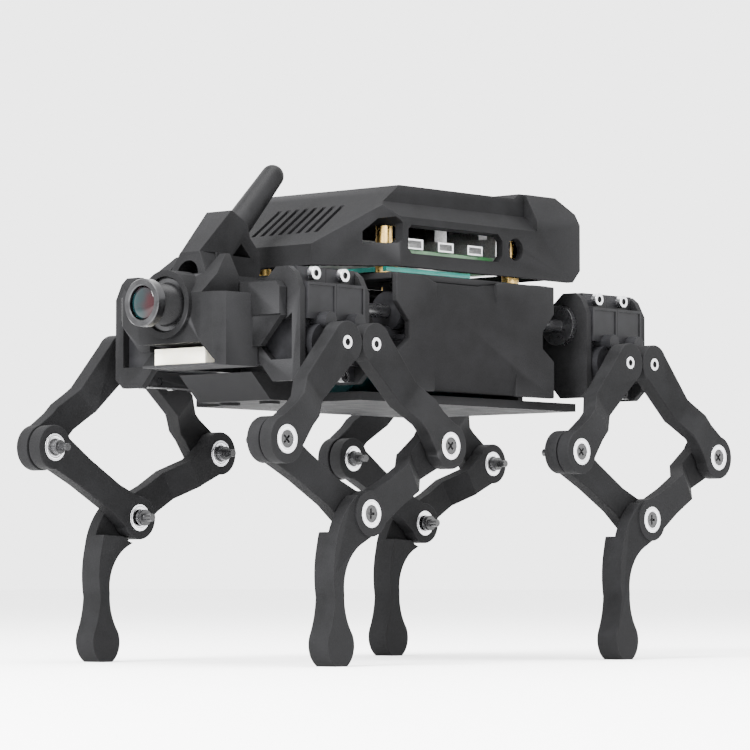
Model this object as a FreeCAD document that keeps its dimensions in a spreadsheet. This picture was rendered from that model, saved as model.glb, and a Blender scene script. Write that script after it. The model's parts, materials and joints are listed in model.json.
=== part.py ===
"""Four-legged walking robot: eight crank servos drive four five-bar legs, four more roll the hips.

Millimetres. +X points to the robot's head, +Y to its left and +Z up. The origin is on the ground,
below the middle of the robot. Every driving dimension is a cell of the sheet; the sketches, pads and
pockets are bound to those cells. A leg is described once, as the front left one, and the other three
are made by mirroring it side to side and moving it back by the wheelbase.
"""
import FreeCAD, Part
import math
import os
import re
import Sketcher

# Driving dimensions, by group. Heights above the ground, widths from the middle plane.
DIMENSIONS = {
    # linkage
    "wheelbase": 129.5,         # front hips to rear hips
    "hip_height": 90.8,         # crank axes above the ground
    "servo_pitch": 12.2,        # between the two crank axes of one leg
    "crank_length": 40.0,
    "front_link_length": 40.0,
    "rear_link_length": 39.8153,
    "crank_angle": 45.3,        # each crank from straight down, at rest
    "roll_axis": 27.1,          # hip roll axes, out from the middle plane
    "roll_rise": 11.8,          # roll axes above the crank axes
    # layers of a leg, out from the middle plane
    "turret_face": 38.9,
    "boss_face": 41.2,
    "crank_hub_face": 39.2,
    "crank_root_in": 42.5,
    "crank_root_out": 47.5,
    "outer_layer_in": 46.5,
    "leg_face": 50.85,
    "inner_layer_in": 41.4,
    "inner_layer_out": 45.9,
    "calf_in": 42.9,
    "calf_out": 50.4,
    "bolt_tip": 36.1,
    # leg outlines
    "crank_root_radius": 6.0,
    "knee_radius": 6.7,
    "link_end_radius": 6.5,
    "bar_half_width": 4.5,
    # bearings 5 x 8 x 2.5 and the bolts in them
    "bearing_radius": 4.0,
    "bearing_bore": 2.5,
    "bearing_width": 2.5,
    "sleeve_radius": 2.46,
    "loose_pin_radius": 1.8,    # the opened pivot
    "bolt_clearance": 3.0,
    "bolt_shank": 1.15,
    "fit_gap": 0.01,
    # servo, 22.8 x 12.1 x 26 with tabs, shaft axis at its own origin
    "servo_half_width": 6.05,
    "servo_below_shaft": 5.5,
    "servo_above_shaft": 17.3,
    "servo_tab_overhang": 4.6,
    "servo_back": 15.0,
    "servo_tab_back": 31.2,
    "servo_tab_front": 33.4,
    "servo_gear_face": 34.8,
    "servo_block_face": 37.6,
    "servo_block_low": 6.9,
    "turret_radius": 5.8,
    "boss_radius": 2.3,
    "boss_height": 6.6,
    "tab_screw_low": 8.5,
    "tab_screw_high": 20.1,
    "roll_servo_shift": -7.1,   # how much further out along its shaft a roll servo sits
    "roll_shaft_radius": 2.0,
    # hip bracket
    "bracket_plate_near": 12.4,
    "bracket_plate_far": 14.6,
    "bracket_low": -10.6,
    "bracket_high": 21.8,
    "bracket_back": 13.0,
    "bracket_face": 37.0,
    "bracket_bar_back": 27.0,
    # body
    "belly": 75.8,
    "belly_top": 78.3,
    "belly_half_width": 33.0,
    "belly_rear": 49.6,
    "hull_half_width": 14.5,
    "hull_high": 83.5,
    "neck_half_width": 8.0,
    "neck_low": 107.0,
    "neck_high": 111.3,
    "neck_rear": 61.2,
    "cover_in": 33.4,
    "cover_out": 35.4,
    "cover_half_length": 36.3,
    "cover_low": 79.3,
    "cover_high": 113.3,
    "end_plate_near": 21.9,
    "end_plate_far": 24.0,
    "end_plate_in": 18.9,
    "end_plate_out": 33.0,
    "post_high": 113.0,
    "cell_radius": 9.3,
    "battery_half_length": 34.0,
    "deck_low": 111.7,
    "deck_high": 113.7,
    # computer and its case
    "case_half_width": 33.0,
    "case_wall": 2.4,
    "case_low": 115.6,
    "case_rear": 52.0,
    "case_corner": 31.9,
    "case_front": 52.0,
    "case_front_half_width": 16.0,
    "case_front_high": 121.8,
    "case_slope_top": 30.0,
    "case_roof": 140.1,
    "case_rear_roof": 141.8,
    "board_front": 33.2,
    "board_length": 85.0,
    "board_half_width": 28.0,
    "board_low": 119.8,
    "board_thickness": 1.5,
    "hole_inset": 3.5,
    "hole_spacing": 58.0,
    # head
    "head_face": 95.0,
    "head_rear": 79.8,
    "head_half_width": 18.0,
    "cheek_half_width": 21.0,
    "cheek_front": 92.7,
    "head_low": 84.5,
    "brow_low": 105.3,
    "ramp_top": 81.5,
    "ramp_high": 117.3,
    "crest_base": 111.5,
    "shoulder_face": 82.6,
    "shoulder_out": 32.0,
    "shoulder_low": 99.0,
    "shoulder_high": 108.3,
    "lens_height": 102.3,
    "lens_front": 105.5,
    "lens_rim_radius": 6.85,
    "lens_barrel_radius": 5.9,
    "lens_glass_radius": 4.9,
    "collar_radius": 8.0,
    "lens_boss_radius": 9.8,
    "lens_boss_face": 96.3,
    "led_half_width": 10.1,
    "led_low": 85.5,
    "led_high": 90.2,
    "led_face": 90.0,
    # antenna, leaning back from the vertical
    "antenna_base": 4.2,
    "antenna_tip": 3.4,
    "antenna_length": 26.5,
    "antenna_lean": 43.5,
    "antenna_x": 69.8,
    "antenna_z": 123.4,
}

doc = FreeCAD.newDocument("walking_robot")
sheet = doc.addObject("Spreadsheet::Sheet", "Sheet")
for row, (alias, number) in enumerate(DIMENSIONS.items(), start=1):
    sheet.set("A%d" % row, alias)
    sheet.set("B%d" % row, str(number))
    sheet.setAlias("B%d" % row, alias)
doc.recompute()

# plane: its role, the two axes of its sketches, the axis it faces, and which way it faces
PLANES = {
    "XY": ("XY_Plane", 0, 1, 2, 1),
    "XZ": ("XZ_Plane", 0, 2, 1, -1),
    "YZ": ("YZ_Plane", 1, 2, 0, 1),
}
nodes = []
cuts = []


def value(text):
    """The number that an expression of cell names comes to."""
    return float(sheet.evalExpression(str(text)))


def bound(text):
    """The same expression as another object has to write it."""
    return re.sub(r"[a-z][a-z_]*[a-z]", lambda word: "Sheet." + word.group(0), str(text))


def signed(text, sign):
    return str(text) if sign > 0 else "-(%s)" % text


def vector(x, y, z=0.0):
    return FreeCAD.Vector(x, y, z)


class Piece:
    """A PartDesign body built from pads and pockets whose sketches are bound to the sheet.

    Outlines are written "a,b; a,b; ..." in the plane's own axes; "~a,b" is a point that an arc
    between its neighbours passes through. side=-1 mirrors the piece to the robot's right, and
    end=-1 mirrors it front to back.
    """

    def __init__(self, label, side=1, end=1):
        self.body = doc.addObject("PartDesign::Body", label)
        self.body.Label = label
        self.mirror = (end, side, 1)

    def sketch(self, plane, level, turn):
        role, across, up, facing, way = PLANES[plane]
        sketch = self.body.newObject("Sketcher::SketchObject", self.body.Label + "_sketch")
        sketch.AttachmentSupport = [(self.origin_plane(role), "")]
        sketch.MapMode = "FlatFace"
        sketch.AttachmentOffset = FreeCAD.Placement(vector(0, 0, way * value(level)), FreeCAD.Rotation())
        if turn:
            axis = vector(0, 0, -1) if plane == "XZ" else vector(0, 1, 0)
            sketch.AttachmentOffset = FreeCAD.Placement(sketch.AttachmentOffset.Base, FreeCAD.Rotation(axis, turn))
        sketch.setExpression("AttachmentOffset.Base.z", bound("%d * (%s)" % (way, level)))
        return sketch

    def origin_plane(self, role):
        return next(item for item in self.body.Origin.OriginFeatures if item.Role == role)

    def pin_point(self, sketch, plane, curve, end, a, b):
        role, across, up, facing, way = PLANES[plane]
        for kind, text in (("DistanceX", signed(a, self.mirror[across])), ("DistanceY", signed(b, self.mirror[up]))):
            index = sketch.addConstraint(Sketcher.Constraint(kind, -1, 1, curve, end, value(text)))
            sketch.setExpression("Constraints[%d]" % index, bound(text))

    def spot(self, plane, a, b):
        role, across, up, facing, way = PLANES[plane]
        return vector(value(signed(a, self.mirror[across])), value(signed(b, self.mirror[up])))

    def draw_circle(self, sketch, plane, centre, radius):
        a, b = centre.split(",")
        curve = sketch.addGeometry(Part.Circle(self.spot(plane, a, b), vector(0, 0, 1), value(radius)), False)
        index = sketch.addConstraint(Sketcher.Constraint("Radius", curve, value(radius)))
        sketch.setExpression("Constraints[%d]" % index, bound(radius))
        self.pin_point(sketch, plane, curve, 3, a, b)

    def draw_outline(self, sketch, plane, outline):
        corners = []
        through = {}
        for word in (word.strip() for word in outline.split(";")):
            if word.startswith("~"):
                through[len(corners) - 1] = word[1:]
            else:
                corners.append(word)
        starts = {}
        ends = {}
        for number, corner in enumerate(corners):
            following = corners[(number + 1) % len(corners)]
            first = self.spot(plane, *corner.split(","))
            last = self.spot(plane, *following.split(","))
            if number in through:
                middle = self.spot(plane, *through[number].split(","))
                turning = (middle - first).cross(last - middle).z
                if turning > 0:
                    arc = Part.Arc(first, middle, last)
                    starts[number], ends[number] = 1, 2
                else:
                    arc = Part.Arc(last, middle, first)
                    starts[number], ends[number] = 2, 1
                curve = sketch.addGeometry(arc, False)
                sketch.addConstraint(Sketcher.Constraint("Radius", curve, sketch.Geometry[curve].Radius))
            else:
                sketch.addGeometry(Part.LineSegment(first, last), False)
                starts[number], ends[number] = 1, 2
        for number, corner in enumerate(corners):
            following = (number + 1) % len(corners)
            sketch.addConstraint(Sketcher.Constraint("Coincident", number, ends[number], following, starts[following]))
            self.pin_point(sketch, plane, number, starts[number], *corner.split(","))

    def feature(self, kind, plane, low, high, turn, both):
        role, across, up, facing, way = PLANES[plane]
        if self.mirror[facing] < 0:
            low, high = signed(high, -1), signed(low, -1)
        from_low = (kind == "Pad") == (way > 0)
        level = "0" if both else (low if from_low else high)
        sketch = self.sketch(plane, level, turn)
        made = self.body.newObject("PartDesign::" + kind, self.body.Label + "_" + kind.lower())
        made.Profile = sketch
        made.setExpression("Length", bound("(%s) - (%s)" % (high, low)))
        made.Midplane = both
        if kind == "Pocket":
            cuts.append(made)
        return sketch

    def outline(self, kind, plane, outline, low, high, turn=0, both=False):
        self.draw_outline(self.feature(kind, plane, low, high, turn, both), plane, outline)
        return self

    def pad(self, plane, outline, low, high, turn=0):
        return self.outline("Pad", plane, outline, low, high, turn)

    def pocket(self, plane, outline, low, high, turn=0, both=False):
        return self.outline("Pocket", plane, outline, low, high, turn, both)

    def disc(self, plane, centre, radius, low, high, turn=0):
        self.draw_circle(self.feature("Pad", plane, low, high, turn, False), plane, centre, radius)
        return self

    def bore(self, plane, centre, radius, low, high, turn=0):
        self.draw_circle(self.feature("Pocket", plane, low, high, turn, False), plane, centre, radius)
        return self

    def place(self, x, y, z, turn=0.0):
        """Puts the piece where it belongs: turned about the Y axis, then moved."""
        self.body.Placement = FreeCAD.Placement(vector(x, y, z), FreeCAD.Rotation(vector(0, 1, 0), turn))
        return self

    def place_in_body(self, end, side):
        """Puts a roll servo, or a screw of one, in the body: upside down, shaft towards its hip."""
        upside_down = FreeCAD.Rotation(vector(0, 1, 0), 180)
        along = FreeCAD.Rotation(vector(0, 0, 1), -90 * end)
        shaft = vector(0, side * value("roll_axis"), value("hip_height + roll_rise"))
        self.body.Placement = FreeCAD.Placement(shaft, along * upside_down)
        return self

    def node(self):
        """Marks the piece as a sub-part with a file of its own."""
        nodes.append(self.body)
        return self


def group(label, pieces):
    """A sub-part made of several separate solids."""
    compound = doc.addObject("Part::Compound", label)
    compound.Label = label
    compound.Links = [piece.body for piece in pieces]
    nodes.append(compound)


def rectangle(a_low, a_high, b_low, b_high):
    return "%s,%s; %s,%s; %s,%s; %s,%s" % (a_low, b_low, a_high, b_low, a_high, b_high, a_low, b_high)


def linkage():
    """Pivots of a leg in its own plane, from the middle of the hip, and the links' directions."""
    half = value("servo_pitch") / 2
    angle = math.radians(value("crank_angle"))
    reach = value("crank_length")
    front_hip = (half, 0.0)
    rear_hip = (-half, 0.0)
    front_knee = (half + reach * math.sin(angle), -reach * math.cos(angle))
    rear_knee = (-front_knee[0], front_knee[1])
    span = front_knee[0] - rear_knee[0]
    front_reach = value("front_link_length")
    rear_reach = value("rear_link_length")
    along = (rear_reach ** 2 - front_reach ** 2 + span ** 2) / (2 * span)
    mid = (rear_knee[0] + along, rear_knee[1] - math.sqrt(rear_reach ** 2 - along ** 2))
    return {"front_hip": front_hip, "rear_hip": rear_hip, "front_knee": front_knee, "rear_knee": rear_knee, "mid": mid}


def heading(start, finish):
    """The turn about +Y that points local +X from one pivot to another."""
    return -math.degrees(math.atan2(finish[1] - start[1], finish[0] - start[0]))


# ------------------------------------------------------------------ small parts


def bearing(label, side, centre, outer_face, turn=0):
    """A ball bearing, as one plain ring."""
    low = "%s - bearing_width" % outer_face
    ring = Piece(label, side).disc("XZ", centre, "bearing_radius - fit_gap", low, outer_face, turn)
    ring.bore("XZ", centre, "bearing_bore", low, outer_face, turn)
    return ring


def knee_bolt(label, side):
    """A sleeve bolt through a knee: recessed head, sleeve, washer, nut and bare tip."""
    bolt = Piece(label, side)
    bolt.disc("XZ", "0,0", "sleeve_radius", "inner_layer_in + 0.1", "leg_face - 0.25")
    bolt.disc("XZ", "0,0", "bolt_clearance + 0.3", "inner_layer_out + 0.2", "outer_layer_in")
    bolt.disc("XZ", "0,0", "2.1", "inner_layer_in - 2.2", "inner_layer_in + 0.1")
    bolt.disc("XZ", "0,0", "bolt_shank", "bolt_tip", "inner_layer_in - 2.2")
    return cross_recess(bolt, "0,0", "leg_face - 0.25")


def cross_recess(bolt, centre, face):
    """The cross that a screwdriver fits, in a face that looks outward."""
    a, b = centre.split(",")
    for long, short in (("1.5", "0.35"), ("0.35", "1.5")):
        slot = rectangle("%s - %s" % (a, long), "%s + %s" % (a, long), "%s - %s" % (b, short), "%s + %s" % (b, short))
        bolt.pocket("XZ", slot, "%s - 0.9" % face, face)
    return bolt


def cap_screw(label, side, centre, seat, reach, end=1):
    """A small socket cap screw looking outward from its seat."""
    screw = Piece(label, side, end)
    screw.disc("XZ", centre, "1.9", seat, "%s + 2.0" % seat)
    screw.disc("XZ", centre, "1.0", "%s - %s" % (seat, reach), seat)
    screw.bore("XZ", centre, "0.95", "%s + 0.9" % seat, "%s + 2.0" % seat)
    return screw


def servo(label, side, shift="0"):
    """A micro servo with its shaft on the local origin and the shaft pointing outward."""
    case = Piece(label, side)
    wide = rectangle("-servo_half_width", "servo_half_width", "-servo_below_shaft", "servo_above_shaft")
    tabs = rectangle("-servo_half_width", "servo_half_width", "-(servo_below_shaft + servo_tab_overhang)",
                     "servo_above_shaft + servo_tab_overhang")
    block = rectangle("-servo_half_width", "servo_half_width", "servo_block_low", "servo_above_shaft")
    label_field = rectangle("0.9 - servo_half_width", "servo_half_width - 0.9", "servo_block_low + 1.4",
                            "servo_above_shaft - 0.8")
    case.pad("XZ", wide, "servo_back + %s" % shift, "servo_gear_face + %s" % shift)
    case.pad("XZ", tabs, "servo_tab_back + %s" % shift, "servo_tab_front + %s" % shift)
    case.pad("XZ", block, "servo_gear_face + %s" % shift, "servo_block_face + %s" % shift)
    case.disc("XZ", "0,0", "turret_radius", "servo_gear_face + %s" % shift, "turret_face + %s" % shift)
    case.disc("XZ", "0,boss_height", "boss_radius", "servo_gear_face + %s" % shift, "boss_face + %s" % shift)
    case.pocket("XZ", label_field, "servo_block_face - 0.3 + %s" % shift, "servo_block_face + %s" % shift)
    for height in ("-tab_screw_low", "tab_screw_high"):
        case.bore("XZ", "0,%s" % height, "1.05", "servo_tab_back + %s" % shift, "servo_tab_front + %s" % shift)
    return case


# ------------------------------------------------------------------ legs


def crank(label, side):
    """A crank in its own frame: servo hub at the origin, knee out along +X, stepping outward between."""
    arm = Piece(label, side)
    bar = ("0,-5.9; 21,-bar_half_width; 30,-bar_half_width - 0.1; crank_length,-6.3;"
           " crank_length,6.3; 30,bar_half_width + 0.1; 21,bar_half_width; 0,5.9")
    arm.disc("XZ", "0,0", "crank_root_radius", "crank_root_in", "crank_root_out")
    arm.pad("XZ", bar, "crank_root_in", "leg_face")
    arm.disc("XZ", "crank_length,0", "knee_radius", "outer_layer_in", "leg_face")
    arm.pocket("XY", "-7,crank_root_out; 19,crank_root_out; 26,leg_face; 26,leg_face + 1; -7,leg_face + 1",
               "-10", "10", both=True)
    arm.pocket("XY", "20,crank_root_in; 27.5,outer_layer_in; 48,outer_layer_in; 48,crank_root_in - 1;"
               " 20,crank_root_in - 1", "-10", "10", both=True)
    arm.disc("XZ", "0,0", "3.2", "crank_hub_face", "crank_root_in")
    arm.bore("XZ", "0,0", "2.0", "crank_root_out - 2.1", "crank_root_out")
    arm.bore("XZ", "0,0", "1.1", "crank_hub_face", "crank_root_out - 2.1")
    arm.bore("XZ", "crank_length,0", "bearing_radius", "leg_face - bearing_width", "leg_face")
    arm.bore("XZ", "crank_length,0", "bolt_clearance", "outer_layer_in", "leg_face - bearing_width")
    return arm


def front_link(label, side):
    """The straight link from the front knee to the mid pivot, in the inner layer."""
    bar = ("0,-5.6; 14,-bar_half_width; 28,-bar_half_width + 0.2; front_link_length,-5.8;"
           " front_link_length,5.8; 28,bar_half_width - 0.2; 14,bar_half_width; 0,5.6")
    arm = Piece(label, side)
    arm.pad("XZ", bar, "inner_layer_in", "inner_layer_out")
    for centre in ("0,0", "front_link_length,0"):
        arm.disc("XZ", centre, "link_end_radius", "inner_layer_in", "inner_layer_out")
    for centre in ("0,0", "front_link_length,0"):
        arm.bore("XZ", centre, "bearing_radius", "inner_layer_in", "inner_layer_in + bearing_width")
        arm.bore("XZ", centre, "bolt_clearance + 0.2", "inner_layer_in + bearing_width", "inner_layer_out")
    return arm


def foot_link(label, side, turn):
    """Rear knee to mid pivot to foot in one bent piece, with the mid pivot at its origin."""
    arm = Piece(label, side)
    bar = ("-rear_link_length,-5.8; -28,-bar_half_width; -12,-bar_half_width; 0,-5.6;"
           " 0,5.6; -12,bar_half_width; -28,bar_half_width; -rear_link_length,5.8")
    calf = ("5.6,5.2; ~11.3,-0.8; 14.2,-8.5; ~15.3,-16; 14.7,-23.5; ~15.4,-28.6; 17.3,-34.2; ~17.4,-38.6;"
            " 14.2,-sole; 9.7,-sole; ~6.9,-38.6; 7.5,-33.6; ~10.1,-28.4; 10.8,-22.5; ~9.5,-14.6; 4.2,-8.9;"
            " -4.4,-4.6; -5.5,3.2").replace("sole", "%.4f" % sole_drop())
    arm.pad("XZ", bar, "inner_layer_in", "leg_face", turn)
    arm.disc("XZ", "-rear_link_length,0", "link_end_radius", "inner_layer_in", "inner_layer_out", turn)
    arm.pocket("XY", "-48,inner_layer_out; -28,inner_layer_out; -21,leg_face; -21,leg_face + 1; -48,leg_face + 1",
               "-10", "10", turn, both=True)
    arm.pocket("XY", "-27,inner_layer_in; -19.5,outer_layer_in; 9,outer_layer_in; 9,inner_layer_in - 1;"
               " -27,inner_layer_in - 1", "-10", "10", turn, both=True)
    arm.pad("XZ", calf, "calf_in", "calf_out")
    arm.disc("XZ", "0,0", "link_end_radius", "outer_layer_in", "leg_face")
    arm.bore("XZ", "0,0", "link_end_radius + 1.1", "calf_in", "outer_layer_in")
    arm.pocket("XZ", "-9,-6.5; 12.5,-5.2; 16,-5.2; 16,8; -9,8", "calf_in", "outer_layer_in")
    arm.bore("XZ", "0,0", "bearing_radius", "leg_face - bearing_width", "leg_face")
    arm.bore("XZ", "0,0", "bolt_clearance", "outer_layer_in", "leg_face - bearing_width")
    knee = "-rear_link_length,0"
    arm.bore("XZ", knee, "bearing_radius", "inner_layer_in", "inner_layer_in + bearing_width", turn)
    arm.bore("XZ", knee, "bolt_clearance + 0.2", "inner_layer_in + bearing_width", "inner_layer_out", turn)
    return arm


def sole_drop():
    """How far the flat of the foot lies below the mid pivot when the robot stands."""
    return value("hip_height") + linkage()["mid"][1]


def mid_bolt(label, side):
    """The bolt of the mid pivot: full size in the foot link, thinner where it passes the front link."""
    bolt = Piece(label, side)
    bolt.disc("XZ", "0,0", "bearing_bore - fit_gap", "outer_layer_in + 0.1", "leg_face - 0.25")
    bolt.disc("XZ", "0,0", "loose_pin_radius", "inner_layer_in - 0.6", "outer_layer_in + 0.1")
    bolt.disc("XZ", "0,0", "2.4", "inner_layer_in - 2.4", "inner_layer_in - 0.6")
    bolt.disc("XZ", "0,0", "bolt_shank", "bolt_tip", "inner_layer_in - 2.4")
    return cross_recess(bolt, "0,0", "leg_face - 0.25")


def hip_bracket(label, side, end):
    """The frame round a leg's two servos: a plate at each end, joined by two bars and a back web."""
    frame = Piece(label, side, end)
    plate = ("bracket_back,-1.8; 18.3,-1.8; 26.3,bracket_low; 34,bracket_low; bracket_face,bracket_low + 2.7;"
             " bracket_face,15.5; 34.6,20.1; 32.4,bracket_high; 27.6,bracket_high; 23.3,18.2; bracket_back,18.2")
    frame.pad("YZ", plate, "bracket_plate_near", "bracket_plate_far")
    for low, high in (("-(servo_below_shaft + servo_tab_overhang)", "-servo_below_shaft - 0.1"),
                      ("servo_above_shaft + 0.1", "servo_above_shaft + servo_tab_overhang - 0.5")):
        frame.pad("YZ", rectangle("bracket_bar_back", "servo_tab_back - 0.05", low, high),
                  "-bracket_plate_far", "bracket_plate_near")
    frame.pad("YZ", rectangle("bracket_back", "servo_back - 0.1", "2", "18"),
              "-bracket_plate_far", "bracket_plate_near")
    frame.pad("YZ", plate, "-bracket_plate_far", "-bracket_plate_near")
    frame.bore("YZ", "roll_axis,roll_rise", "bearing_bore", "bracket_plate_near", "bracket_plate_far")
    frame.pocket("YZ", "21.6,-0.4; 25.8,-4.5; 33.8,-4.5; 33.8,8.6; 31.8,7; 21.6,7",
                 "bracket_plate_near", "bracket_plate_far")
    for x in ("servo_pitch / 2", "-servo_pitch / 2"):
        for z in ("-tab_screw_low", "tab_screw_high"):
            frame.bore("XZ", "%s,%s" % (x, z), "1.05", "bracket_bar_back", "servo_tab_back - 0.05")
    return frame


def roll_horn(label, side, end):
    """The horn that ties the bracket's inner plate to the roll servo's shaft."""
    horn = Piece(label, side, end)
    horn.disc("YZ", "roll_axis,roll_rise", "6.2", "-bracket_plate_far - 2.2", "-bracket_plate_far")
    horn.disc("YZ", "roll_axis,roll_rise", "roll_shaft_radius",
              "turret_face + roll_servo_shift + 0.3 - wheelbase / 2", "-bracket_plate_far - 2.2")
    return horn


def leg(name, side, end):
    """One leg with its hip, put on the body at its corner."""
    pivots = linkage()
    hip_x = end * value("wheelbase") / 2
    height = value("hip_height")

    def at(piece, pivot, turn=0.0):
        return piece.place(hip_x + pivot[0], 0, height + pivot[1], turn)

    middle = (0.0, 0.0)
    at(hip_bracket(name + "_hip_bracket", side, end), middle).node()
    servos = [at(servo("%s_%s_servo" % (name, which), side), pivots[which + "_hip"]) for which in ("front", "rear")]
    group(name + "_crank_servos", servos)
    fittings = [at(roll_horn(name + "_roll_horn", side, end), middle)]
    for which in ("front", "rear"):
        for height_name in ("-tab_screw_low", "tab_screw_high"):
            screw = cap_screw("%s_%s_tab_screw" % (name, which), side, "0,%s" % height_name, "servo_tab_front", "6.2")
            fittings.append(at(screw, pivots[which + "_hip"]))
    group(name + "_hip_fittings", fittings)
    for which in ("front", "rear"):
        hip = pivots[which + "_hip"]
        knee = pivots[which + "_knee"]
        turn = heading(hip, knee)
        at(crank("%s_%s_crank" % (name, which), side), hip, turn).node()
        group("%s_%s_crank_fittings" % (name, which), [
            at(cap_screw("%s_%s_hub_screw" % (name, which), side, "0,0", "crank_root_out - 2.1", "5.8"), hip, turn),
            at(bearing("%s_%s_knee_bearing" % (name, which), side, "0,0", "leg_face"), knee),
            at(knee_bolt("%s_%s_knee_bolt" % (name, which), side), knee, turn),
        ])
    knee = pivots["front_knee"]
    mid = pivots["mid"]
    at(front_link(name + "_front_link", side), knee, heading(knee, mid)).node()
    inner_face = "inner_layer_in + bearing_width"
    group(name + "_front_link_bearings", [
        at(bearing(name + "_upper_bearing", side, "0,0", inner_face), knee),
        at(bearing(name + "_lower_bearing", side, "0,0", inner_face), mid),
    ])
    at(foot_link(name + "_foot_link", side, heading(pivots["rear_knee"], mid)), mid).node()
    group(name + "_foot_link_fittings", [
        at(bearing(name + "_foot_knee_bearing", side, "0,0", inner_face), pivots["rear_knee"]),
        at(bearing(name + "_mid_bearing", side, "0,0", "leg_face"), mid),
        at(mid_bolt(name + "_mid_bolt", side), mid),
    ])


# ------------------------------------------------------------------ body


def roll_servos():
    """Four servos in the body, shafts out to the front and rear, in line with the hips' roll axes."""
    servos = [servo("roll_servo", 1, "roll_servo_shift").place_in_body(end, side)
              for end in (1, -1) for side in (1, -1)]
    group("roll_servos", servos)


def chassis_frame():
    """The tray: belly plate, forward hull, and the posts that hold the roll servos."""
    tray = Piece("chassis_frame")
    tray.pad("XY", rectangle("-belly_rear", "belly_rear", "-belly_half_width", "belly_half_width"),
             "belly", "belly_top")
    for near, far in (("end_plate_near", "end_plate_far"), ("-end_plate_far", "-end_plate_near")):
        for side in (1, -1):
            tray.mirror = (1, side, 1)
            tray.pad("YZ", "end_plate_in,belly; end_plate_out,belly; end_plate_out,post_high; 21,post_high;"
                           " 21,deck_low; end_plate_in,deck_low", near, far)
            tray.pocket("YZ", rectangle("roll_axis - servo_half_width - 0.1", "end_plate_out + 1",
                                        "hip_height + roll_rise - servo_above_shaft - 0.1",
                                        "hip_height + roll_rise + servo_below_shaft + 0.1"), near, far)
            for height in ("hip_height + roll_rise - tab_screw_high", "hip_height + roll_rise + tab_screw_low"):
                tray.bore("YZ", "roll_axis,%s" % height, "1.05", near, far)
    tray.mirror = (1, 1, 1)
    tray.pad("XZ", "belly_rear - 2,belly; 67.5,belly; 75.5,hull_high; 58,hull_high; 53,belly_top;"
                   " belly_rear - 2,belly_top",
             "-hull_half_width", "hull_half_width")
    for side in (1, -1):
        tray.mirror = (1, side, 1)
        tray.disc("XY", "61,8", "3.0", "belly - 0.8", "belly")
    tray.mirror = (1, 1, 1)
    return tray


def deck():
    """The top plate, with a tongue forward to the head and a notch round each roll servo's upper tab."""
    plate = Piece("top_deck")
    plate.pad("XY", rectangle("-cover_half_length", "cover_half_length", "-belly_half_width", "belly_half_width"),
              "deck_low", "deck_high")
    plate.pad("XZ", "34,deck_low; 48,deck_low; 61,108; 61,110.6; 50,deck_high; 34,deck_high",
              "-neck_half_width", "neck_half_width")
    plate.pocket("XY", rectangle("-14", "14", "-16", "16"), "deck_low", "deck_high")
    for end in (1, -1):
        for side in (1, -1):
            plate.mirror = (end, side, 1)
            plate.pocket("XY", rectangle("end_plate_near - 0.1", "28.5", "20.9", "belly_half_width + 1"),
                         "deck_low", "deck_high")
    plate.mirror = (1, 1, 1)
    return plate


def side_cover(label, side):
    """A thin cover over one side, notched at both ends, with a sloping facet at each long edge."""
    cover = Piece(label, side)
    outline = ("-cover_half_length,cover_low; cover_half_length,cover_low; cover_half_length,90.5;"
               " 30.9,94.3; 30.9,99.3; cover_half_length,105; cover_half_length,cover_high; 24.6,cover_high;"
               " 19.4,111.5; -1.8,111.5; -12.1,cover_high; -cover_half_length,cover_high;"
               " -cover_half_length,105; -30.9,99.3; -30.9,94.3; -cover_half_length,90.5")
    cover.pad("XZ", outline, "cover_in", "cover_out")
    cover.pocket("YZ", "cover_out + 0.1,106.5; cover_out,106.5; cover_out - 1.4,cover_high;"
                       " cover_out + 0.1,cover_high", "-9", "18.6")
    cover.pocket("YZ", "cover_out + 0.1,86.2; cover_out,86.2; cover_out - 1.4,cover_low;"
                       " cover_out + 0.1,cover_low", "-18", "19.5")
    return cover


def computer_case():
    """The computer's cover: open below, sloped and vented in front, stepped along its roof."""
    shell = Piece("computer_case")
    plan = ("-case_rear,-case_half_width; case_corner,-case_half_width; case_front,-case_front_half_width;"
            " case_front,case_front_half_width; case_corner,case_half_width; -case_rear,case_half_width")
    shell.pad("XY", plan, "case_low", "case_rear_roof")
    shell.pocket("XZ", "case_front + 1,case_front_high - 0.73; case_slope_top,137.8; 27,case_roof; 27,case_rear_roof + 1;"
                 " case_front + 1,case_rear_roof + 1", "-case_half_width", "case_half_width")
    shell.pocket("XZ", "28,case_roof; 28,case_rear_roof + 1; -30,case_rear_roof + 1; -26,case_roof",
                 "-case_half_width", "case_half_width")
    for side in (1, -1):
        shell.mirror = (1, side, 1)
        shell.pocket("YZ", "case_half_width + 1,130.1; case_half_width,130.1; 28,134.8; 28,case_rear_roof + 1;"
                     " case_half_width + 1,case_rear_roof + 1", "-31", "case_front + 1")
        shell.pocket("YZ", "case_half_width + 1,133.5; case_half_width,133.5; 28.5,case_rear_roof;"
                     " case_half_width + 1,case_rear_roof", "-case_rear", "-31")
    shell.mirror = (1, 1, 1)
    shell.pocket("XZ", "-case_rear - 1,137; -case_rear,137; -44,case_rear_roof + 1; -case_rear - 1,case_rear_roof + 1",
                 "-case_half_width", "case_half_width")
    shell.pocket("XZ", "-case_rear - 1,119.4; -case_rear,119.4; 3.6 - case_rear,case_low; -case_rear - 1,case_low",
                 "-case_half_width", "case_half_width")
    return shell


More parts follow.
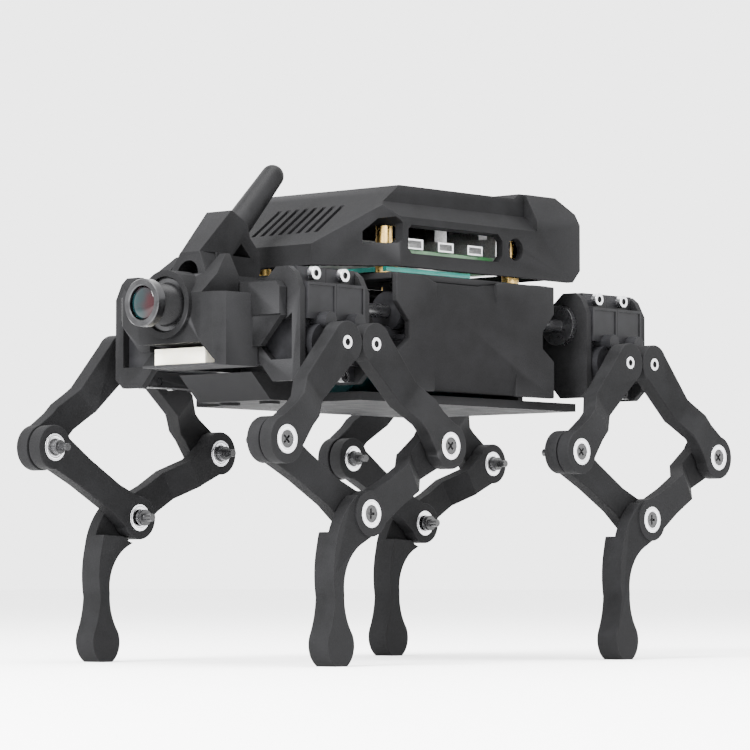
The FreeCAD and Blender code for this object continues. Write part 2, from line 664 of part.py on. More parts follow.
def hollow_case(shell):
    """Empties the case in steps that follow its outside, and cuts its side, corner and rear openings."""
    back = "case_wall - case_rear"
    near = "case_half_width - case_wall"
    inner = ("%s,-(%s); case_corner - 1,-(%s); case_front - case_wall,2 - case_front_half_width;"
             " case_front - case_wall,case_front_half_width - 2; case_corner - 1,%s; %s,%s"
             % (back, near, near, near, back, near))
    shell.pocket("XY", inner, "case_low", "case_front_high - 2.2")
    shell.pocket("XY", "%s,-(%s); case_corner - 2,-(%s); case_corner + 9,-25; case_corner + 9,25; case_corner - 2,%s;"
                       " %s,%s" % (back, near, near, near, back, near), "case_front_high - 2.2", "127.9")
    shell.pocket("XY", rectangle(back, "29", "-27.4", "27.4"), "127.9", "130.3")
    shell.pocket("XY", rectangle(back, "29", "-26", "26"), "130.3", "135.4")
    shell.pocket("XZ", "-12.5,119.6; 27,119.6; 28.5,121; 28.5,126.6; 27,128; -12.5,128; -14.5,126; -14.5,121.6",
                 near, "case_half_width")
    shell.bore("XZ", "-20.8,123.9", "3.4", near, "case_half_width")
    for side in (1, -1):
        shell.mirror = (1, side, 1)
        shell.pocket("XZ", "31,123.4; 32.6,122.3; 40.5,122.3; 40.5,125.6; 37,129.4; 33,130; 31,128.2",
                     "20", "case_half_width")
    shell.mirror = (1, 1, 1)
    shell.pocket("YZ", rectangle("-26.5", "26.5", "121.3", "136"), "-case_rear", back)
    shell.pocket("YZ", rectangle("-28.2", "28.2", "119.4", "121.5"), "-case_rear", back)
    return shell


def vents(shell):
    """Eight slots across the sloping front panel, cut straight down into the case."""
    for number in range(8):
        middle = 3.6 * (number - 3.5)
        shell.pocket("XY", rectangle("34.5", "46.5", "%g" % (middle - 0.8), "%g" % (middle + 0.8)),
                     "121", "case_rear_roof")
    return shell


def computer_board():
    """The single-board computer: the board and the connectors that its case leaves open."""
    top = "board_low + board_thickness"
    board = Piece("printed_board").pad("XY", rectangle("board_front - board_length", "board_front", "-board_half_width",
                                                       "board_half_width"), "board_low", top)
    for x in ("board_front - hole_inset", "board_front - hole_inset - hole_spacing"):
        for y in ("24.5", "-24.5"):
            board.bore("XY", "%s,%s" % (x, y), "1.35", "board_low", top)
    parts = [board]
    sockets = (("power_socket", 11.2, 9.0, 3.2), ("video_socket", 26.0, 7.1, 3.0), ("video_socket", 39.5, 7.1, 3.0))
    for label, from_front, width, height in sockets:
        low = "board_front - %g" % (from_front + width / 2)
        high = "board_front - %g" % (from_front - width / 2)
        socket = Piece(label).pad("XY", rectangle(low, high, "board_half_width - 6.2", "board_half_width + 1.2"),
                                  top, "%s + %g" % (top, height))
        mouth = rectangle(low + " + 0.7", high + " - 0.7", top + " + 0.6", "%s + %g" % (top, height - 0.6))
        socket.pocket("XZ", mouth, "board_half_width - 4", "board_half_width + 1.2")
        parts.append(socket)
    audio = Piece("audio_socket").pad("XY", rectangle("board_front - 57.5", "board_front - 50.5", "board_half_width - 12",
                                                      "board_half_width"), top, top + " + 6")
    audio.bore("XZ", "board_front - 54,%s + 3" % top, "1.8", "board_half_width - 10", "board_half_width")
    parts.append(audio)
    for label, centre, width, height in (("network_socket", 17.75, 15.9, 13.5), ("usb_socket", 0.0, 13.1, 15.6),
                                         ("usb_socket", -18.0, 13.1, 15.6)):
        low, high = "%g" % (centre - width / 2), "%g" % (centre + width / 2)
        socket = Piece(label).pad("XY", rectangle("board_front - board_length - 0.6", "board_front - board_length + 17",
                                                  low, high), top, "%s + %g" % (top, height - 1.9))
        mouth = rectangle(low + " + 1", high + " - 1", top + " + 1", "%s + %g" % (top, height - 3))
        socket.pocket("YZ", mouth, "board_front - board_length - 0.6", "board_front - board_length + 8")
        parts.append(socket)
    parts.append(Piece("pin_header").pad("XY", rectangle("board_front - 58.1", "board_front - 7.1", "-27", "-22"),
                                         top, top + " + 8.5"))
    parts.append(Piece("processor").pad("XY", rectangle("board_front - 37", "board_front - 22", "-7", "8"),
                                        top, top + " + 2.4"))
    group("computer_board", parts)


def body_fasteners():
    """Four standoffs that carry the computer, four above it for its case, and the roll servos' screws."""
    parts = []
    for x, ceiling in (("board_front - hole_inset", "127.9"), ("board_front - hole_inset - hole_spacing", "130.3")):
        for y in ("24.5", "-24.5"):
            spot = "%s,%s" % (x, y)
            lower = Piece("lower_standoff").disc("XY", spot, "2.6", "deck_high", "board_low")
            parts.append(lower.disc("XY", spot, "1.3", "board_low", "board_low + board_thickness"))
            parts.append(Piece("upper_standoff").disc("XY", spot, "2.5", "board_low + board_thickness", ceiling))
    for end in (1, -1):
        for side in (1, -1):
            for height in ("-tab_screw_low", "tab_screw_high"):
                screw = cap_screw("roll_servo_screw", 1, "0,%s" % height, "servo_tab_front + roll_servo_shift", "4.4")
                parts.append(screw.place_in_body(end, side))
    group("body_fasteners", parts)


def head_shell():
    """The head: a lens face, a brow ramp, shoulders that carry the front hips' pivots, and a neck.

    Its lower right corner is cut away.
    """
    shell = Piece("head_shell")
    box = ("head_rear,-cheek_half_width; cheek_front,-cheek_half_width; head_face,-head_half_width;"
           " head_face,head_half_width; cheek_front,cheek_half_width; head_rear,cheek_half_width")
    shell.pad("XY", box, "head_low", "brow_low")
    shell.pocket("YZ", "-9.9,head_low - 1; -9.9,89.8; -17.8,96.4; -22,99.9; -22,head_low - 1",
                 "head_rear", "head_face")
    shell.pad("XZ", "head_face,brow_low; ramp_top,ramp_high; head_rear,ramp_high; head_rear,brow_low",
              "-13.5", "13.5")
    for side in (1, -1):
        shell.mirror = (1, side, 1)
        shell.pocket("YZ", "14,110; 10,ramp_high; 14,ramp_high", "head_rear", "head_face")
    shell.mirror = (1, 1, 1)
    shell.pocket("XY", rectangle("head_rear", "88.3", "-7.6", "7.6"), "crest_base - 0.1", "ramp_high")
    shell.pad("XY", rectangle("neck_rear", "head_rear + 0.7", "-neck_half_width", "neck_half_width"),
              "neck_low", "neck_high")
    for side in (1, -1):
        shell.mirror = (1, side, 1)
        shell.pad("YZ", "20,shoulder_low; shoulder_out,shoulder_low; shoulder_out,106.6; 30.4,shoulder_high;"
                        " 20,shoulder_high", "head_rear", "shoulder_face")
        shell.pad("YZ", "20,90.2; 24,90.2; shoulder_out,98.6; shoulder_out,shoulder_low + 0.1;"
                        " 20,shoulder_low + 0.1", "head_rear", "shoulder_face - 0.6")
        shell.disc("YZ", "roll_axis,hip_height + roll_rise", "bearing_bore - 0.05",
                   "wheelbase / 2 + bracket_plate_near + 0.1", "head_rear")
    shell.mirror = (1, 1, 1)
    shell.disc("YZ", "0,lens_height", "lens_boss_radius", "88.4", "lens_boss_face")
    shell.pocket("XY", rectangle("86.1", "92", "-13", "13"), "94", "105.7")
    shell.bore("YZ", "0,lens_height", "collar_radius", "86.1", "lens_boss_face")
    shell.pocket("YZ", "-12.5,85.2; -12.5,91.2; 12.9,91.2; 18.4,86; 18.4,85.2", "85", "head_face")
    return shell


def camera():
    """The camera board with its threaded collar, and the lens that screws into it."""
    module = Piece("camera_module")
    module.pad("YZ", rectangle("-12.5", "12.5", "94.2", "105.5"), "86.2", "87.3")
    module.disc("YZ", "0,lens_height", "collar_radius - 0.06", "87.2", "head_face")
    module.bore("YZ", "0,lens_height", "lens_barrel_radius + 0.05", "88.2", "head_face")
    module.node()
    lens = Piece("camera_lens")
    lens.disc("YZ", "0,lens_height", "lens_barrel_radius", "88.3", "lens_front - 3.2")
    lens.disc("YZ", "0,lens_height", "lens_rim_radius", "lens_front - 3.2", "lens_front")
    lens.bore("YZ", "0,lens_height", "lens_glass_radius", "lens_front - 0.9", "lens_front")
    lens.node()


def led_panel():
    """The lamp: a flat light panel against the back of the recess under the lens."""
    panel = Piece("led_panel")
    panel.pad("YZ", rectangle("-led_half_width", "led_half_width", "led_low", "led_high"), "85", "led_face")
    return panel


def antenna_holder():
    """The crest: a fin on a flared foot, arched in front, pierced at the side, socketed for the antenna."""
    crest = Piece("crest")
    crest.pad("XZ", "87,crest_base; 86,118; 74,130.6; 67.2,127.2; 66.2,123; 62.4,119.2; 61.8,113.9;"
                    " 62.5,crest_base", "-5", "5")
    crest.pad("YZ", "-7.4,crest_base; 7.4,crest_base; 3.9,118; -3.9,118", "80", "87")
    crest.pocket("XZ", "87.5,crest_base; 87,crest_base; 86,118; 87.5,118", "-7.4", "7.4")
    for side in (1, -1):
        crest.mirror = (1, side, 1)
        crest.pocket("YZ", "7.4,crest_base; 7.4,118; 3.9,118", "80", "87")
        crest.pocket("XY", "74,5; 86.5,3.7; 86.5,6; 74,6", "118", "131")
    crest.mirror = (1, 1, 1)
    crest.bore("YZ", "0,crest_base - 0.2", "4.2", "80", "87")
    crest.pocket("XZ", "66,117.2; 73.5,117.4; 69.9,121.1", "-5", "5")
    socket = doc.addObject("Part::Cone", "antenna_socket")
    for prop, text in (("Radius1", "antenna_base + fit_gap"), ("Radius2", "antenna_tip + fit_gap"),
                       ("Height", "antenna_length")):
        socket.setExpression(prop, bound(text))
    socket.Placement = antenna_placement()
    holder = doc.addObject("Part::Cut", "antenna_holder")
    holder.Label = "antenna_holder"
    holder.Base = crest.body
    holder.Tool = socket
    nodes.append(holder)


def antenna_placement():
    """Where the rod stands on the crest, leaning back."""
    lean = FreeCAD.Rotation(vector(0, 1, 0), -value("antenna_lean"))
    return FreeCAD.Placement(vector(value("antenna_x"), 0, value("antenna_z")), lean)


def antenna():
    """A tapered round rod with a domed tip, leaning back from the crest."""
    cone = doc.addObject("Part::Cone", "antenna_cone")
    dome = doc.addObject("Part::Sphere", "antenna_dome")
    for prop, text in (("Radius1", "antenna_base"), ("Radius2", "antenna_tip"), ("Height", "antenna_length")):
        cone.setExpression(prop, bound(text))
    dome.setExpression("Radius", bound("antenna_tip"))
    dome.setExpression("Placement.Base.z", bound("antenna_length"))
    rod = doc.addObject("Part::MultiFuse", "antenna")
    rod.Label = "antenna"
    rod.Shapes = [cone, dome]
    rod.Placement = antenna_placement()
    nodes.append(rod)


def battery():
    """Two round cells side by side in one shrunk wrap, lying along the belly."""
    pack = Piece("battery_pack")
    pack.pad("YZ", rectangle("-cell_radius", "cell_radius", "belly_top + 0.1", "belly_top + 0.1 + 2 * cell_radius"),
             "-battery_half_length", "battery_half_length")
    for centre in ("-cell_radius", "cell_radius"):
        pack.disc("YZ", "%s,belly_top + 0.1 + cell_radius" % centre, "cell_radius",
                  "-battery_half_length", "battery_half_length")
    return pack


def driver_board():
    board = Piece("driver_board")
    board.pad("XY", rectangle("-6", "32", "-27.5", "27.5"), "114.4", "115.8")
    for y in ("24.5", "-24.5"):
        board.bore("XY", "board_front - hole_inset,%s" % y, "2.7", "114.4", "115.8")
    return board


for side, side_name in ((1, "left"), (-1, "right")):
    for end, end_name in ((1, "front"), (-1, "rear")):
        leg("%s_%s" % (end_name, side_name), side, end)

chassis_frame().node()
deck().node()
side_cover("side_cover_left", 1).node()
side_cover("side_cover_right", -1).node()
roll_servos()
battery().node()
driver_board().node()
computer_board()
vents(hollow_case(computer_case())).node()
body_fasteners()
head_shell().node()
camera()
led_panel().node()
antenna_holder()
antenna()

doc.recompute()

# ------------------------------------------------------------------ checks, then the files
for item in doc.Objects:
    if "Invalid" in item.State or "Error" in item.State:
        raise RuntimeError("%s (%s) failed: %s" % (item.Name, item.Label, item.State))
for cut in cuts:
    before = cut.BaseFeature.Shape.Volume
    if cut.Shape.Volume > before - 0.001:
        raise RuntimeError("%s cuts nothing" % cut.Name)

os.makedirs("parts", exist_ok=True)
for item in nodes:
    if item.Shape.isNull() or not item.Shape.isValid():
        raise RuntimeError("%s has no valid shape" % item.Label)
    item.Shape.exportStep("parts/%s.step" % item.Label)
    print("%-34s solids %2d  volume %9.1f" % (item.Label, len(item.Shape.Solids), item.Shape.Volume))
print(len(nodes), "nodes")
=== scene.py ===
"""Looks of the four-legged walking robot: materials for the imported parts, and the fine detail on them."""
import json
import math

import bmesh
import bpy
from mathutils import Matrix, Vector


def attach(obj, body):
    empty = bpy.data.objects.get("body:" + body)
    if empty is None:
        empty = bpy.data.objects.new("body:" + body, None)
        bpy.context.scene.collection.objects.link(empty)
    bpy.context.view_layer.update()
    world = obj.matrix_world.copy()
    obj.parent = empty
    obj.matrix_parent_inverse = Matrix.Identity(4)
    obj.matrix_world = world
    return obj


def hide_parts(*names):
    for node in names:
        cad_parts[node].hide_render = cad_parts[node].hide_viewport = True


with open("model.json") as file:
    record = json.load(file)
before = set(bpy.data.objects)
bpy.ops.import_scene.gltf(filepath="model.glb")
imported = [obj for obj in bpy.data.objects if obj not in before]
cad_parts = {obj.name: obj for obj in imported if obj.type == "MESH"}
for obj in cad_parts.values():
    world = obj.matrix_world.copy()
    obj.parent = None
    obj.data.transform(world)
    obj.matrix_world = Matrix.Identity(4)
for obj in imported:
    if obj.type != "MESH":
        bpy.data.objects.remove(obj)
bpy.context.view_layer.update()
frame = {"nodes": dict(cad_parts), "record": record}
MM = 0.001
SEGMENTS = 64
LEGS = [(end + "_" + side, 1 if side == "left" else -1)
        for end in ("front", "rear") for side in ("left", "right")]
JOINTS = {joint["name"]: Vector(joint["pos_m"]) for joint in frame["record"]["behaviour"]["joints"]}


# ------------------------------------------------------------------ materials


class Nodes:
    """A material's node tree, with short calls for the nodes that every finish here uses."""

    def __init__(self, name):
        self.material = bpy.data.materials.new(name)
        self.material.use_nodes = True
        self.tree = self.material.node_tree
        self.shader = self.tree.nodes["Principled BSDF"]
        self.place = self.add("ShaderNodeTexCoord").outputs["Object"]

    def add(self, kind, **settings):
        node = self.tree.nodes.new(kind)
        for key, setting in settings.items():
            setattr(node, key, setting)
        return node

    def link(self, start, finish):
        self.tree.links.new(start, finish)

    def noise(self, scale, detail=4.0, roughness=0.55):
        node = self.add("ShaderNodeTexNoise")
        node.inputs["Scale"].default_value = scale
        node.inputs["Detail"].default_value = detail
        node.inputs["Roughness"].default_value = roughness
        self.link(self.place, node.inputs["Vector"])
        return node.outputs["Fac"]

    def ramp(self, source, low, high, first, last):
        """Colours first to last as source goes from low to high."""
        node = self.add("ShaderNodeValToRGB")
        for element, position, colour in zip(node.color_ramp.elements, (low, high), (first, last)):
            element.position = position
            element.color = (*colour, 1.0)
        self.link(source, node.inputs["Fac"])
        return node.outputs["Color"]

    def span(self, source, low, high, first, last):
        """Numbers first to last as source goes from low to high."""
        node = self.add("ShaderNodeMapRange")
        for key, number in (("From Min", low), ("From Max", high), ("To Min", first), ("To Max", last)):
            node.inputs[key].default_value = number
        self.link(source, node.inputs["Value"])
        return node.outputs["Result"]

    def mix(self, factor, first, second):
        node = self.add("ShaderNodeMix", data_type="RGBA")
        self.link(factor, node.inputs["Factor"])
        for socket, colour in (("A", first), ("B", second)):
            target = next(item for item in node.inputs if item.name == socket and item.type == "RGBA")
            if isinstance(colour, tuple):
                target.default_value = (*colour, 1.0)
            else:
                self.link(colour, target)
        return next(item for item in node.outputs if item.type == "RGBA")

    def above(self, axis, level):
        """1 above that level of one axis, in metres, and 0 below it."""
        split = self.add("ShaderNodeSeparateXYZ")
        self.link(self.place, split.inputs["Vector"])
        node = self.add("ShaderNodeMath", operation="GREATER_THAN")
        node.inputs[1].default_value = level
        self.link(split.outputs[axis], node.inputs[0])
        return node.outputs["Value"]

    def bump(self, height, strength, distance):
        node = self.add("ShaderNodeBump")
        node.inputs["Strength"].default_value = strength
        node.inputs["Distance"].default_value = distance
        self.link(height, node.inputs["Height"])
        self.link(node.outputs["Normal"], self.shader.inputs["Normal"])

    def worn(self, colour, wear):
        """The colour, turning to wear along convex edges."""
        geometry = self.add("ShaderNodeNewGeometry")
        return self.mix(self.span(geometry.outputs["Pointiness"], 0.53, 0.62, 0.0, 0.55), colour, wear)


def finish(name, dark, light, rough, metal=0.0, patch=160.0, grain=2600.0, strength=0.3, depth=0.00006,
           wear=None, coat=0.0, shine=0.5):
    """A finish with patchy colour, uneven roughness and a fine grain; rough is its (low, high)."""
    nodes = Nodes(name)
    patches = nodes.noise(patch)
    speckle = nodes.noise(grain, 3.0)
    base = nodes.ramp(patches, 0.35, 0.65, dark, light)
    colour = nodes.mix(nodes.span(speckle, 0.35, 0.65, 0.0, 0.35), base, light)
    nodes.link(nodes.worn(colour, wear) if wear else colour, nodes.shader.inputs["Base Color"])
    nodes.link(nodes.span(patches, 0.3, 0.7, rough[0], rough[1]), nodes.shader.inputs["Roughness"])
    nodes.shader.inputs["Metallic"].default_value = metal
    nodes.shader.inputs["Coat Weight"].default_value = coat
    nodes.shader.inputs["Specular IOR Level"].default_value = shine
    nodes.bump(speckle, strength, depth)
    return nodes


def banded(nodes, axis, level, below, above, metal_above=None):
    """Two colours on one part, changing at a level of one axis, where two kinds of piece share a node."""
    mask = nodes.above(axis, level)
    speckle = nodes.noise(1800.0, 3.0)
    lower = nodes.ramp(speckle, 0.35, 0.65, *below)
    upper = nodes.ramp(speckle, 0.35, 0.65, *above)
    nodes.link(nodes.mix(mask, lower, upper), nodes.shader.inputs["Base Color"])
    if metal_above is not None:
        metal = nodes.span(mask, 0.0, 1.0, 1.0 - metal_above, metal_above)
        nodes.link(metal, nodes.shader.inputs["Metallic"])
    return nodes


def spotted(name, spots, floor_level=None):
    """Bright steel that turns black inside each spot, (x, z, radius) in metres, and below a level."""
    nodes = finish(name, (0.58, 0.58, 0.60), (0.74, 0.74, 0.76), (0.2, 0.34), strength=0.1)
    split = nodes.add("ShaderNodeSeparateXYZ")
    nodes.link(nodes.place, split.inputs["Vector"])
    flat = nodes.add("ShaderNodeCombineXYZ")
    nodes.link(split.outputs["X"], flat.inputs["X"])
    nodes.link(split.outputs["Z"], flat.inputs["Z"])
    mask = None
    for x, z, radius in spots:
        away = nodes.add("ShaderNodeVectorMath", operation="DISTANCE")
        nodes.link(flat.outputs["Vector"], away.inputs[0])
        away.inputs[1].default_value = (x, 0, z)
        inside = nodes.add("ShaderNodeMath", operation="LESS_THAN")
        nodes.link(away.outputs["Value"], inside.inputs[0])
        inside.inputs[1].default_value = radius
        mask = joined(nodes, mask, inside.outputs["Value"])
    if floor_level is not None:
        under = nodes.add("ShaderNodeMath", operation="LESS_THAN")
        nodes.link(split.outputs["Z"], under.inputs[0])
        under.inputs[1].default_value = floor_level
        mask = joined(nodes, mask, under.outputs["Value"])
    speckle = nodes.noise(1800.0, 3.0)
    bright = nodes.ramp(speckle, 0.35, 0.65, (0.55, 0.55, 0.57), (0.75, 0.75, 0.77))
    # inside the socket spots this black is painted shade in the hex recesses
    black = nodes.ramp(speckle, 0.35, 0.65, (0.006, 0.006, 0.0065), (0.014, 0.014, 0.015))
    nodes.link(nodes.mix(mask, bright, black), nodes.shader.inputs["Base Color"])
    nodes.link(nodes.span(mask, 0.0, 1.0, 1.0, 0.1), nodes.shader.inputs["Metallic"])
    return nodes.material


def joined(nodes, first, second):
    """Whichever of two masks is larger."""
    if first is None:
        return second
    node = nodes.add("ShaderNodeMath", operation="MAXIMUM")
    nodes.link(first, node.inputs[0])
    nodes.link(second, node.inputs[1])
    return node.outputs["Value"]


FINISHES = {
    "printed_nylon": finish("printed_nylon", (0.0032, 0.0032, 0.0034), (0.0062, 0.0062, 0.0066), (0.62, 0.80),
                            strength=0.7, depth=0.00012, wear=(0.022, 0.022, 0.023), shine=0.055),
    "servo_black": finish("servo_black", (0.005, 0.005, 0.0055), (0.009, 0.009, 0.010),
                          (0.34, 0.48), strength=0.15, shine=0.10),
    "bright_steel": finish("bright_steel", (0.58, 0.58, 0.60), (0.74, 0.74, 0.76), (0.18, 0.32), metal=1.0,
                           strength=0.1),
    "dark_steel": finish("dark_steel", (0.008, 0.008, 0.009), (0.018, 0.018, 0.019),
                         (0.32, 0.45), metal=0.3, shine=0.25,
                         wear=(0.08, 0.08, 0.08)),
    "green_board": banded(finish("green_board", (0.02, 0.09, 0.03), (0.03, 0.13, 0.04), (0.3, 0.42),
                                 coat=0.3),
                          "Z", 121.35 * MM, ((0.02, 0.09, 0.03), (0.03, 0.13, 0.04)),
                          ((0.50, 0.50, 0.50), (0.66, 0.66, 0.66)), metal_above=1.0),
    "teal_board": finish("teal_board", (0.02, 0.26, 0.22), (0.03, 0.36, 0.30), (0.3, 0.42), coat=0.3),
    "brass": banded(finish("brass", (0.5, 0.33, 0.1), (0.62, 0.42, 0.15), (0.22, 0.36), metal=1.0),
                    "Z", 113.4 * MM, ((0.02, 0.02, 0.02), (0.04, 0.04, 0.04)),
                    ((0.50, 0.33, 0.10), (0.62, 0.42, 0.15))),
    "battery_wrap": finish("battery_wrap", (0.004, 0.018, 0.020), (0.006, 0.026, 0.028),
                           (0.30, 0.42), shine=0.15,
                           grain=500.0),
    "lens_black": finish("lens_black", (0.003, 0.003, 0.0033), (0.006, 0.006, 0.0065),
                         (0.32, 0.46), shine=0.10),
    "camera_black": finish("camera_black", (0.005, 0.005, 0.0055), (0.010, 0.010, 0.011),
                           (0.4, 0.55), shine=0.15),
    "lamp_white": finish("lamp_white", (0.80, 0.76, 0.62), (0.90, 0.87, 0.74), (0.35, 0.5), patch=420.0),
    "antenna_rubber": finish("antenna_rubber", (0.003, 0.003, 0.0032), (0.006, 0.006, 0.0064),
                             (0.44, 0.58), shine=0.07),
}
RIM_SILVER = finish("rim_silver", (0.030, 0.030, 0.031), (0.052, 0.052, 0.054), (0.25, 0.4),
                    metal=1.0).material
LAMP = FINISHES["lamp_white"].shader
LAMP.inputs["Emission Color"].default_value = (1.0, 0.95, 0.80, 1.0)
LAMP.inputs["Emission Strength"].default_value = 0.25


def glass_finish():
    """Coated lens glass: nearly black, with a red and teal glint painted into its base colour as a painted
    reflection.
    """
    nodes = Nodes("coated_glass")
    # painted reflection: the red and teal patches in the base colour stand for the coating's glint
    painted_glint = nodes.ramp(nodes.noise(140.0, 1.0), 0.40, 0.62, (0.012, 0.002, 0.003), (0.001, 0.008, 0.009))
    nodes.link(painted_glint, nodes.shader.inputs["Base Color"])
    nodes.link(nodes.span(nodes.noise(300.0), 0.3, 0.7, 0.03, 0.07), nodes.shader.inputs["Roughness"])
    nodes.shader.inputs["Coat Weight"].default_value = 0.15
    nodes.shader.inputs["Specular IOR Level"].default_value = 0.12
    return nodes.material


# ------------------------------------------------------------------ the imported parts

# bevel widths in millimetres, by finish; the printed parts take the usual one
USUAL_EDGE = 0.35
WELD_REACH = 0.002
FLAT_ANGLE = 0.5
EDGE_ANGLE = 32
SOFT_EDGE = {"bright_steel": 0.08, "dark_steel": 0.10, "servo_black": 0.25, "brass": 0.08,
             "green_board": 0.10, "lamp_white": 0.25, "camera_black": 0.15}
for row in frame["record"]["subparts"]:
    part = frame["nodes"][row["node"]]
    for material_slot in part.material_slots:
        material_slot.material = FINISHES[row["material_slot"]].material
    weld = part.modifiers.new("weld", "WELD")
    weld.merge_threshold = WELD_REACH * MM
    flats = part.modifiers.new("flats", "DECIMATE")
    flats.decimate_type = "DISSOLVE"
    flats.angle_limit = math.radians(FLAT_ANGLE)
    edge = part.modifiers.new("edge", "BEVEL")
    edge.width = SOFT_EDGE.get(row["material_slot"], USUAL_EDGE) * MM
    edge.segments = 2
    edge.limit_method = "ANGLE"
    edge.angle_limit = math.radians(EDGE_ANGLE)
    part.modifiers.new("normals", "WEIGHTED_NORMAL").keep_sharp = False


# ------------------------------------------------------------------ turned pieces


def turned(name, turnings, body, slot, material=None, closed=False):
    """Pieces turned about an axis: each is (profile of (radius, along) in mm, origin in metres, axis)."""
    mesh = bpy.data.meshes.new(name)
    work = bmesh.new()
    for profile, origin, axis in turnings:
        turn = Vector(axis).to_track_quat("Z", "Y")
        rings = []
        for radius, along in profile:
            count = SEGMENTS if radius > 0 else 1
            rings.append([work.verts.new(Vector(origin) + turn @ Vector((
                radius * MM * math.cos(2 * math.pi * step / SEGMENTS),
                radius * MM * math.sin(2 * math.pi * step / SEGMENTS),
                along * MM))) for step in range(count)])
        pairs = list(zip(rings, rings[1:])) + ([(rings[-1], rings[0])] if closed else [])
        for first, second in pairs:
            for step in range(SEGMENTS):
                after = (step + 1) % SEGMENTS
                corners = [first[step % len(first)], first[after % len(first)],
                           second[after % len(second)], second[step % len(second)]]
                work.faces.new(list(dict.fromkeys(corners)))
    bmesh.ops.recalc_face_normals(work, faces=work.faces)
    for face in work.faces:
        face.smooth = True
    work.to_mesh(mesh)
    work.free()
    mesh.set_sharp_from_angle(angle=math.radians(35))
    mesh.materials.append(material or FINISHES[slot].material)
    piece = bpy.data.objects.new(name, mesh)
    bpy.context.scene.collection.objects.link(piece)
    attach(piece, body)
    return piece


# millimetres: bearing faces out from the middle plane, and the mid pivot from the middle of its hip
LEG_FACE = 50.85
INNER_FACE = 41.4
MID_DROP = 48.14
MID_BACK = 0.107


def shield(face, outward):
    """The pressed shield between a bearing's races, standing just off its face."""
    rise = 0.06 if outward else -0.06
    return [(2.96, face), (3.05, face + rise), (3.36, face + rise), (3.45, face)]


# metres: radii that turn black (the socket spots are painted shade inside the hex recesses), and the upper
# tab screws from the crank axes
BOLT = 2.48 * MM
SOCKET_SHADE = 1.0 * MM
HALF_PITCH = 6.1 * MM
TAB_SCREW_RISE = 20.1 * MM
BRIGHT_ABOVE = 18.4 * MM


def repaint(node, material):
    for material_slot in frame["nodes"][node].material_slots:
        material_slot.material = material


for leg, side in LEGS:
    out = (0, side, 0)
    hip = JOINTS[leg + "_hip_roll"]
    crank_height = JOINTS[leg + "_front_crank_swing"].z
    mid = Vector((hip.x - MID_BACK * MM, 0, crank_height - MID_DROP * MM))
    knees = {which: Vector((JOINTS[leg + "_" + which + "_knee"].x, 0, JOINTS[leg + "_" + which + "_knee"].z))
             for which in ("front", "rear")}
    screw_height = crank_height + TAB_SCREW_RISE
    # the black spots on the tab screw sockets are painted shade inside the hex recesses
    repaint(leg + "_hip_fittings", spotted(leg + "_hip_steel", [
        (hip.x - HALF_PITCH, screw_height, SOCKET_SHADE), (hip.x + HALF_PITCH, screw_height, SOCKET_SHADE)],
        crank_height + BRIGHT_ABOVE))
    repaint(leg + "_foot_link_fittings", spotted(leg + "_foot_steel", [(mid.x, mid.z, BOLT)]))
    for which, knee in knees.items():
        hub = JOINTS["%s_%s_crank_swing" % (leg, which)]
        # the black spot on the hub screw socket is painted shade inside its hex recess
        repaint("%s_%s_crank_fittings" % (leg, which), spotted("%s_%s_crank_steel" % (leg, which), [
            (knee.x, knee.z, BOLT), (hub.x, hub.z, SOCKET_SHADE)]))
        turned("%s_%s_crank_shield" % (leg, which), [(shield(LEG_FACE, True), knee, out)],
               "%s_%s_crank" % (leg, which), "bright_steel", closed=True)
    turned(leg + "_front_link_shields", [(shield(INNER_FACE, False), knees["front"], out),
                                         (shield(INNER_FACE, False), mid, out)],
           leg + "_front_link", "bright_steel", closed=True)
    turned(leg + "_foot_link_shields", [(shield(LEG_FACE, True), mid, out),
                                        (shield(INNER_FACE, False), knees["rear"], out)],
           leg + "_foot_link", "bright_steel", closed=True)

lens_centre = Vector((0, 0, JOINTS["lens_focus"].z))
ALONG = (1, 0, 0)
BARREL_RADIUS = 5.9
BARREL_BACK = 88.3
BARREL_FRONT = 102.3
THREADS = 26
THREAD_START = 89.0
THREAD_PITCH = 0.5
THREAD_ROOT = 5.72
threads = [(0.0, BARREL_BACK), (5.7, BARREL_BACK), (BARREL_RADIUS, 88.6)]
for number in range(THREADS):
    start = THREAD_START + THREAD_PITCH * number
    threads += [(BARREL_RADIUS, start), (THREAD_ROOT, start + THREAD_PITCH / 2)]
threads += [(BARREL_RADIUS, BARREL_FRONT), (0.0, BARREL_FRONT)]
barrel = turned("lens_barrel", [(threads, lens_centre, ALONG)], "lens", "lens_black")
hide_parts("camera_lens")
rim = [(5.0, 102.31), (6.6, 102.31), (6.85, 102.6), (6.85, 105.2), (6.6, 105.5), (5.2, 105.5), (4.9, 105.2),
       (4.8, 104.2)]
turned("lens_rim", [(rim, lens_centre, ALONG)], "lens", "lens_black", RIM_SILVER, closed=True)
GLASS_RADIUS = 4.78
GLASS_EDGE = 104.2
GLASS_RISE = 1.0
dome = [(GLASS_RADIUS * math.cos(math.radians(angle)),
         GLASS_EDGE + GLASS_RISE * math.sin(math.radians(angle)))
        for angle in range(0, 90, 10)] + [(0.0, GLASS_EDGE + GLASS_RISE)]
turned("lens_glass", [(dome, lens_centre, ALONG)], "lens", "lens_black", glass_finish())
collar = [(6.2, 95.0), (6.3, 95.25), (7.5, 95.25), (7.7, 95.0)]
turned("collar_ring", [(collar, lens_centre, ALONG)], "body", "camera_black", RIM_SILVER, closed=True)

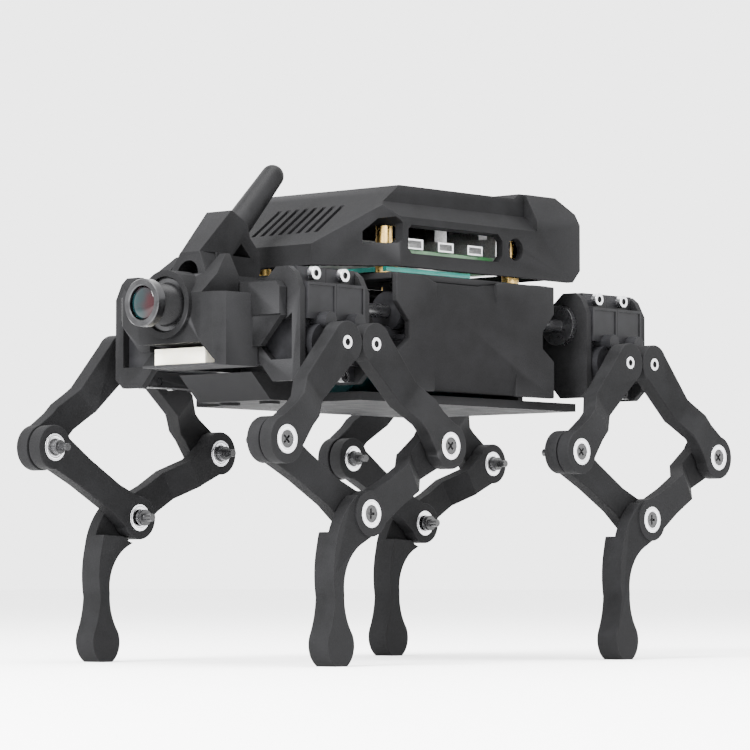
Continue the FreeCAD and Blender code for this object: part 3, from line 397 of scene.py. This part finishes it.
LEAN = math.radians(43.5)
ROD_FOOT = (69.8 * MM, 0, 123.4 * MM)
ROD_BASE = 4.2
ROD_TIP = 3.4
ROD_LENGTH = 26.5
rod = [(0.0, 0.0), (4.1, 0.0), (ROD_BASE, 0.15), (ROD_TIP, ROD_LENGTH)]
rod += [(ROD_TIP * math.cos(math.radians(angle)), ROD_LENGTH + ROD_TIP * math.sin(math.radians(angle)))
        for angle in range(6, 90, 6)]
rod += [(0.0, ROD_LENGTH + ROD_TIP)]
aerial = turned("antenna_rod", [(rod, ROD_FOOT, (-math.sin(LEAN), 0, math.cos(LEAN)))], "body",
                "antenna_rubber")
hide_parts("antenna")


# ------------------------------------------------------------------ floor, light and camera

FLOOR_REACH = 12.0
floor_mesh = bpy.data.meshes.new("floor")
floor_mesh.from_pydata([(-FLOOR_REACH, -FLOOR_REACH, 0), (FLOOR_REACH, -FLOOR_REACH, 0),
                        (FLOOR_REACH, FLOOR_REACH, 0), (-FLOOR_REACH, FLOOR_REACH, 0)], [], [(0, 1, 2, 3)])
floor = bpy.data.objects.new("floor", floor_mesh)
bpy.context.scene.collection.objects.link(floor)
floor_mesh.materials.append(finish("pale_floor", (0.90, 0.90, 0.90), (0.93, 0.93, 0.93), (0.8, 0.9),
                                   patch=1.0, grain=60.0, strength=0.02).material)

world = bpy.data.worlds.new("studio")
world.use_nodes = True
bpy.context.scene.world = world
world.node_tree.nodes["Background"].inputs["Color"].default_value = (1, 1, 1, 1)
world.node_tree.nodes["Background"].inputs["Strength"].default_value = 3.8


def softbox(name, spot, size, power):
    """A square area light that looks at the robot."""
    data = bpy.data.lights.new(name, "AREA")
    data.size = size
    data.energy = power
    light = bpy.data.objects.new(name, data)
    light.location = spot
    light.rotation_euler = (Vector((0, 0, 0.08)) - Vector(spot)).to_track_quat("-Z", "Y").to_euler()
    bpy.context.scene.collection.objects.link(light)


softbox("key", (1.0, 0.1, 0.7), 0.5, 60)
softbox("top", (0.1, 0.2, 1.2), 0.8, 34)
softbox("fill", (0.3, 1.1, 0.4), 0.8, 8)

YAW = math.radians(-138.326)
PITCH = math.radians(3.269)
camera_data = bpy.data.cameras.new("camera")
camera_data.sensor_width = 36.0
camera_data.lens = 176.19
camera = bpy.data.objects.new("camera", camera_data)
camera.location = (0.833648, 0.736592, 0.022775)
camera.rotation_euler = Vector((math.cos(YAW) * math.cos(PITCH), math.sin(YAW) * math.cos(PITCH),
                                math.sin(PITCH))).to_track_quat("-Z", "Y").to_euler()
bpy.context.scene.collection.objects.link(camera)
bpy.context.scene.camera = camera
